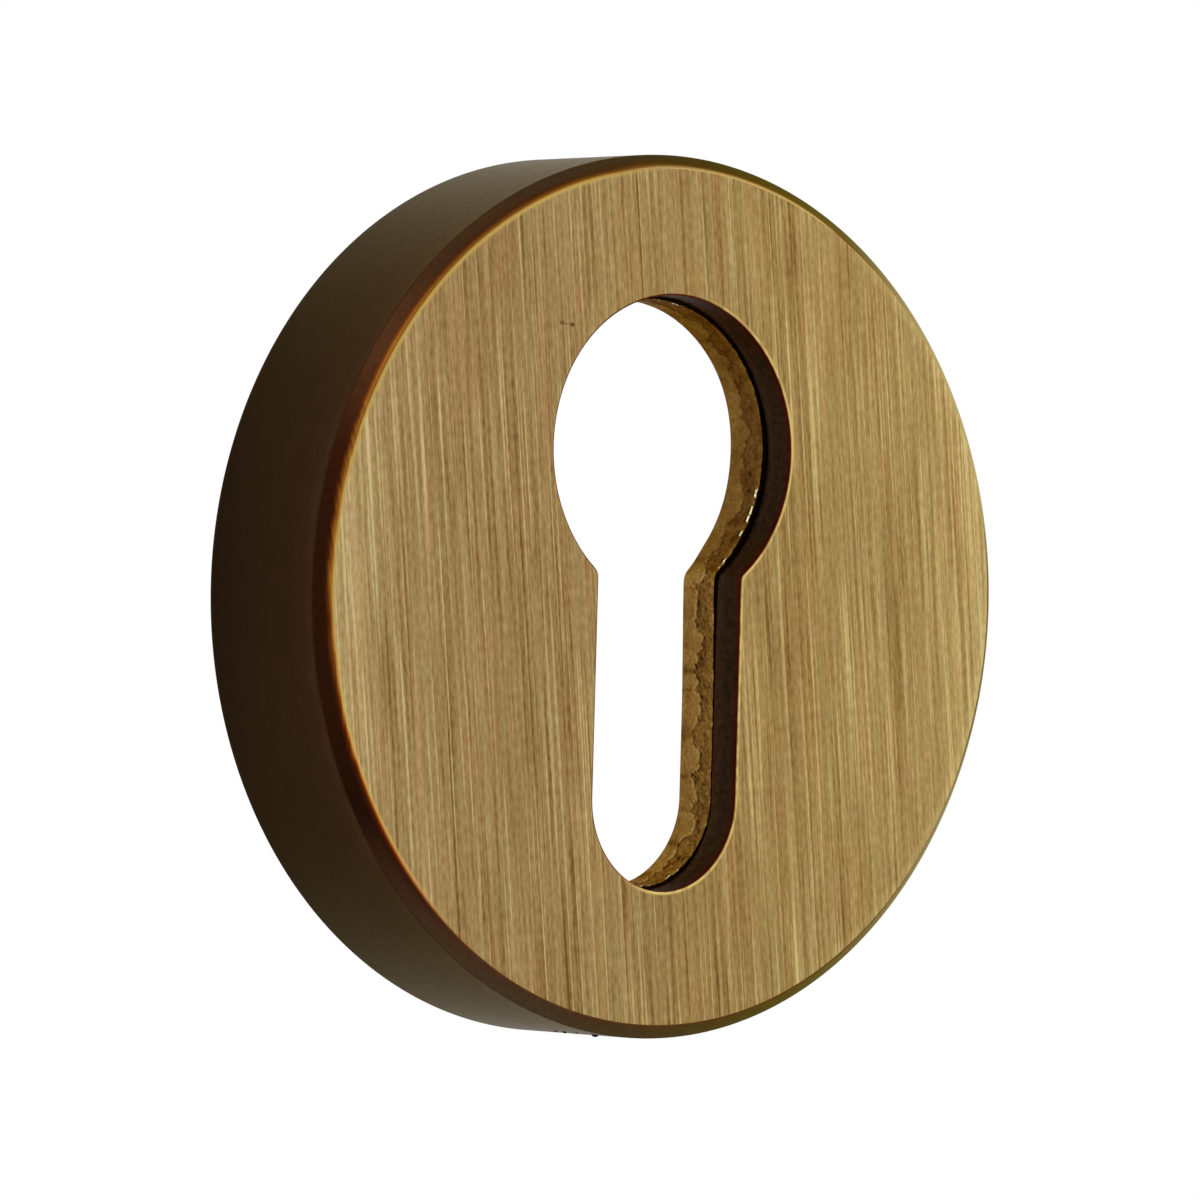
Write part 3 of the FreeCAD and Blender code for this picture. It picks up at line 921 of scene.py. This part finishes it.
def rim_specks():
    """The specks near the bottom of the rim, as one tool: balls sunk into the surface."""
    mesh = bmesh.new()
    for across, y, radius, proud in RIM_SPECKS:
        below = -math.sqrt((COVER_RADIUS / MM) ** 2 - across ** 2)
        outward = Vector((across, 0, below)).normalized()
        centre = outward * (COVER_RADIUS / MM + proud - radius) + Vector((0, y, 0))
        bmesh.ops.create_icosphere(mesh, subdivisions=3, radius=radius * MM,
                                   matrix=Matrix.Translation(centre * MM))
    for face in mesh.faces:
        face.material_index = SPECK_PAINT
    return finish_mesh("tool", mesh)


def smooth(value, low, high):
    """A smooth rise from 0 to 1 while the value goes from low to high."""
    share = min(1.0, max(0.0, (value - low) / (high - low)))
    return share * share * (3 - 2 * share)


def pattern(across, height, kind):
    """Soft random values round 0: one of the patterns along the punched wall."""
    size, layer = kind
    return noise.noise(Vector((across / size, height / size, layer)))


def lobes(across, height, kind):
    """A pattern of round lobes, from 0 in the creases between them to 1."""
    return min(1.0, 2.2 * abs(pattern(across, height, kind)))


def punched_wall(point, depth):
    """The wall that the punch left in the under-rose, at a point of its outline and a depth from the back
    in millimetres. The back half was sheared smooth and ends in round lobes, the front half tore, and a
    burr stands on the front edge. Gives how far the wall stands back from its true place in millimetres,
    how much lighter it is, which holds the metal's own tone together with painted highlights on the lobes'
    rims and painted shade in the creases, folds and pits, and how much painted highlight lies on the burr."""
    across, height = point / MM
    thickness = ROSE_WEB / MM
    tongue = lobes(across, height, TONGUES)
    scallop = lobes(across, height, SCALLOPS)
    ragged = pattern(across, height, RAGGED)
    past = depth - (0.8 + 0.75 * tongue + 0.3 * scallop + 0.12 * ragged)
    torn = smooth(past, 0.0, 0.1)
    # A painted highlight along the sheared lobes' rims, and pits, creases and folds darkened as painted
    # shade
    lobe_rim_highlight = math.exp(-((past + 0.08) / 0.07) ** 2) * smooth(scallop, 0.1, 0.5)
    pit = math.exp(-((past - 0.07) / 0.06) ** 2) * smooth(ragged, -0.3, 0.4)
    crease = (1 - torn) * math.exp(-(tongue / 0.2) ** 2)
    grain = noise.fractal(Vector((across, height, depth)) / 0.4, 0.7, 2.0, 4)
    fine = noise.noise(Vector((across, height, depth)) / 0.16)
    broad = noise.noise(Vector((across / 1.1, height / 1.1, depth / 1.1)))
    petal = lobes(across, height, PETALS)
    fold = (1 - torn) * math.exp(-((depth - 0.2 - 0.8 * petal) / 0.06) ** 2) * smooth(ragged, -0.5, 0.2)
    # The burr's shine is painted: a near-white colour along its front edge, most on the head's lower right,
    # with painted shadow just behind it
    glint_region = smooth(height, 7.5, 6.0) * smooth(height, 0.5, 2.0) + 0.4 * smooth(height, 14.5, 15.5)
    glint_region += 0.8 * smooth(height, -15.2, -15.8) * smooth(across, -0.5, 0.5)
    least = 0.4 - 0.6 * glint_region
    glint_spot = smooth(pattern(across, height, GLINT_SPOTS), least, least + 0.1)
    glint_spot *= smooth(glint_region, 0.0, 0.3) * smooth(ragged, -0.35, -0.05)
    painted_glint = glint_spot * smooth(depth, thickness - 0.24, thickness - 0.14)
    shadow = glint_spot * smooth(depth, thickness - 0.45, thickness - 0.3) * (1 - painted_glint)
    entry = max(0.0, 1 - depth / 0.15) ** 2

    set_back = 0.045 * torn + 0.04 * pit + 0.02 * crease - 0.05 * painted_glint + grain * (0.008 + 0.03 * torn)
    set_back = set_back * smooth(depth, 0.0, 0.3) + 0.06 * entry
    plainer = 1 - 0.75 * smooth(height, 1.0, 4.0)
    lighter = (1 - torn) * (0.14 + 0.25 * broad) + torn * (0.25 * broad - 0.16)
    # Painted highlight on the lobes' rims and painted shade in the creases, folds and pits; the pits and
    # creases also stand back in the mesh
    lighter += plainer * (0.5 * lobe_rim_highlight - 0.3 * crease - 0.28 * fold - 0.6 * pit) - 0.5 * shadow
    specks = 0.25 * smooth(-fine, 0.2, 0.5) - 0.3 * smooth(fine, 0.15, 0.45)
    lighter += (0.1 + 0.15 * torn) * grain + torn * plainer * specks
    lighter += 0.12 * smooth(depth, thickness - 0.5, thickness - 0.2)

    head_side = smooth(height, 14.0, 7.0) * smooth(height, 1.0, 3.0)
    slot_side = smooth(height, 2.0, -7.0) * smooth(height, -16.0, -11.5)
    forward = depth / thickness
    set_back += slot_side * (0.13 + 0.05 * forward) - head_side * (0.25 - 0.12 * forward)
    return set_back, lighter, painted_glint


def rose_wall_rings(outline):
    """The punched wall from its back edge to its front edge, and what its paint needs at each point."""
    rings = []
    values = {"lighter": [], "painted_glint": []}
    for row in range(WALL_ROWS + 1):
        y = ROSE_BACK + (ROSE_FRONT - ROSE_BACK) * row / WALL_ROWS
        depth = (ROSE_BACK - y) / MM
        ring, lights, painted_glints = [], [], []
        for point, ray in outline:
            set_back, lighter, painted_glint = punched_wall(point, depth)
            edge = point + ray * (set_back * MM - ROSE_INSET)
            ring.append(Vector((edge.x, y, edge.y)))
            lights.append(lighter)
            painted_glints.append(painted_glint)
        rings.append(ring)
        values["lighter"].append(lights)
        values["painted_glint"].append(painted_glints)
    return rings, values


def add_bosses(rose):
    """The two screw bosses and the grub screw's block."""
    start = ROSE_BACK - TOOL_REACH
    for x in (-SCREW_OFFSET, SCREW_OFFSET):
        combine(rose, cylinder(BOSS_RADIUS, Vector((x, start, 0)), Vector((x, 0, 0))), "UNION")
    low = Vector((-GRUB_BOSS_HALF, start, -ROSE_RADIUS + ROSE_SKIRT / 2))
    high = Vector((GRUB_BOSS_HALF, GRUB_HEIGHT + GRUB_BOSS_HALF, GRUB_BOSS_TOP))
    combine(rose, block(low, high), "UNION")


def drill_rose(rose):
    """The grub screw's tapped hole, and the two screw holes with their countersinks."""
    below = Vector((0, GRUB_HEIGHT, -ROSE_RADIUS - TOOL_REACH))
    tapped = cylinder(TAPPED_RADIUS, below, Vector((0, GRUB_HEIGHT, TAPPED_TOP)))
    combine(rose, tapped, "DIFFERENCE")
    past = SCREW_SINK - SCREW_HOLE + TOOL_REACH
    for x in (-SCREW_OFFSET, SCREW_OFFSET):
        front = Vector((x, ROSE_FRONT, 0))
        start = front + Vector((0, -TOOL_REACH, 0))
        combine(rose, cylinder(SCREW_HOLE, start, Vector((x, TOOL_REACH, 0))), "DIFFERENCE")
        sink = cylinder(SCREW_SINK + TOOL_REACH, start, front + Vector((0, past, 0)),
                        end_radius=SCREW_HOLE - TOOL_REACH)
        combine(rose, sink, "DIFFERENCE")


def make_under_rose():
    """The forged carrier: web, skirt and bosses, with the punched wall that shows in the keyhole."""
    raw, ledge = range(2)
    outline = keyhole_outline(0.1 * MM)
    rings, values = rose_wall_rings(outline)
    # The three strips in front of the punched wall take the near-black paint: painted shade in the narrow
    # gap behind the cover
    kinds = [raw] * WALL_ROWS + [ledge] * 3
    circle = spread_to_circle(outline, ROSE_RADIUS - ROSE_BEVEL)
    inner_edge = offset(outline, 0.3 * MM)
    rings += flat_rings(inner_edge, circle, (0.0, 0.3, 0.7, 1.0), ROSE_FRONT)
    section = section_points(
        [(ROSE_RADIUS - ROSE_BEVEL, ROSE_FRONT),
         (ROSE_RADIUS, ROSE_FRONT + ROSE_BEVEL),
         (ROSE_RADIUS, 0),
         (ROSE_INSIDE, 0),
         (ROSE_INSIDE, ROSE_BACK),
         (ROSE_INSIDE - 3 * ROSE_CORNER, ROSE_BACK)],
        [0, 0.1 * MM, 0.1 * MM, 0.1 * MM, ROSE_CORNER, 0], 1 * MM)
    for reach, y in section[1:]:
        rings.append(ring_at(circle_from(circle, reach), y))
    back_circle = circle_from(circle, ROSE_INSIDE - 3 * ROSE_CORNER)
    rings += flat_rings(back_circle, inner_edge, (0.3, 0.7, 1.0), ROSE_BACK)
    kinds += [raw] * (len(rings) - len(kinds))
    rose = loft("under_rose_forged", rings, kinds, [
        raw_brass(), inside_patina("ledge_painted_shade", srgb(44, 27, 12), srgb(28, 16, 7))], values)
    add_bosses(rose)
    drill_rose(rose)
    settle(rose, "under_rose")


def make_grub_screw():
    """The headless screw: a threaded shank with bevelled ends and a hexagon socket."""
    sides, rows_per_pitch = 72, 8
    length = GRUB_HIGH.z - GRUB_LOW.z
    rows = math.ceil(length / THREAD_PITCH * rows_per_pitch)
    mesh = bmesh.new()
    skin = []
    for row in range(rows + 1):
        height = length * row / rows
        from_end = min(height, length - height)
        limit = GRUB_RADIUS - max(0, GRUB_BEVEL - from_end)
        ring = []
        for side in range(sides):
            angle = 2 * math.pi * side / sides
            phase = (height / THREAD_PITCH - side / sides) % 1
            groove = abs(2 * phase - 1)
            radius = min(limit, GRUB_RADIUS - THREAD_DEPTH * groove)
            ring.append(mesh.verts.new((radius * math.cos(angle), GRUB_HEIGHT + radius * math.sin(angle),
                                        GRUB_LOW.z + height)))
        skin.append(ring)
    for lower, upper in zip(skin, skin[1:]):
        for side in range(sides):
            beside = (side + 1) % sides
            mesh.faces.new((lower[side], lower[beside], upper[beside], upper[side]))
    mesh.faces.new(skin[0][::-1])
    mesh.faces.new(skin[-1])
    bmesh.ops.recalc_face_normals(mesh, faces=mesh.faces)
    screw = finish_mesh("grub_screw_threaded", mesh, [black_steel()])
    below = Vector((0, GRUB_HEIGHT, GRUB_LOW.z - 1 * MM))
    above = Vector((0, GRUB_HEIGHT, GRUB_LOW.z + GRUB_SOCKET_DEPTH))
    socket = cylinder(GRUB_SOCKET / math.cos(math.pi / 6), below, above, steps=6)
    combine(screw, socket, "DIFFERENCE")
    settle(screw, "grub_screw")


# Studio


FLOOR_HEIGHT = -60 * MM
FLOOR_REACH = 3.0


def make_floor():
    """A pale floor below the part. It keeps the part's shadow, and fades to plain white further off."""
    mesh = bmesh.new()
    bmesh.ops.create_circle(mesh, cap_ends=True, segments=96, radius=FLOOR_REACH,
                            matrix=Matrix.Translation((0, 0, FLOOR_HEIGHT)))
    floor = finish_mesh("floor", mesh)
    paint = Paint("pale_floor", Roughness=0.9)
    paint.colour(paint.ramp(paint.noise(40.0), [(0.0, (0.86, 0.86, 0.86)), (1.0, (0.9, 0.9, 0.9))]))
    white = paint.add("ShaderNodeEmission", {"Color": (1, 1, 1, 1), "Strength": 1.0}).outputs["Emission"]
    away = paint.reach((1, 1, 0))
    path = paint.add("ShaderNodeLightPath").outputs
    mirrored = paint.maths("MAXIMUM", path["Is Glossy Ray"], path["Is Transmission Ray"])
    seen = paint.times(paint.step(away, 110.0, 280.0), path["Is Camera Ray"])
    reflected = paint.times(paint.step(away, 60.0, 150.0), mirrored)
    plain = paint.maths("MAXIMUM", seen, reflected)
    blend = paint.add("ShaderNodeMixShader", {0: plain, 1: paint.shader.outputs["BSDF"], 2: white})
    output = paint.tree.nodes["Material Output"]
    paint.put(output.inputs["Surface"], blend.outputs["Shader"])
    floor.data.materials.append(paint.material)


def light_world():
    """White where the camera, metal or glass sees it, and softer as light."""
    world = bpy.data.worlds.new("studio")
    bpy.context.scene.world = world
    world.use_nodes = True
    tree = world.node_tree
    path = tree.nodes.new("ShaderNodeLightPath").outputs
    seen = path["Is Camera Ray"]
    for name in ("Is Glossy Ray", "Is Transmission Ray"):
        either = tree.nodes.new("ShaderNodeMath")
        either.operation = "MAXIMUM"
        tree.links.new(seen, either.inputs[0])
        tree.links.new(path[name], either.inputs[1])
        seen = either.outputs[0]
    strength = tree.nodes.new("ShaderNodeMapRange")
    tree.links.new(seen, strength.inputs["Value"])
    strength.inputs["To Min"].default_value = 0.7
    strength.inputs["To Max"].default_value = 1.0
    background = tree.nodes["Background"]
    background.inputs["Color"].default_value = (1, 1, 1, 1)
    tree.links.new(strength.outputs["Result"], background.inputs["Strength"])


def soft_light(name, azimuth, elevation, distance, size, watts):
    """A round lamp that looks at the origin. Angles in degrees, lengths in metres."""
    data = bpy.data.lights.new(name, "AREA")
    data.shape = "DISK"
    data.size = size
    data.energy = watts
    lamp = bpy.data.objects.new(name, data)
    bpy.context.scene.collection.objects.link(lamp)
    back = direction(math.radians(azimuth), math.radians(elevation))
    lamp.location = back * distance
    lamp.rotation_mode = "QUATERNION"
    lamp.rotation_quaternion = back.to_track_quat("Z", "Y")


make_camera()
make_cover()
make_under_rose()
make_grub_screw()
make_floor()
light_world()
soft_light("upper_left", -45, 45, 0.8, 0.35, 1.2)
soft_light("right", 60, 25, 0.8, 0.4, 0.9)
bpy.context.scene.view_settings.view_transform = "Standard"
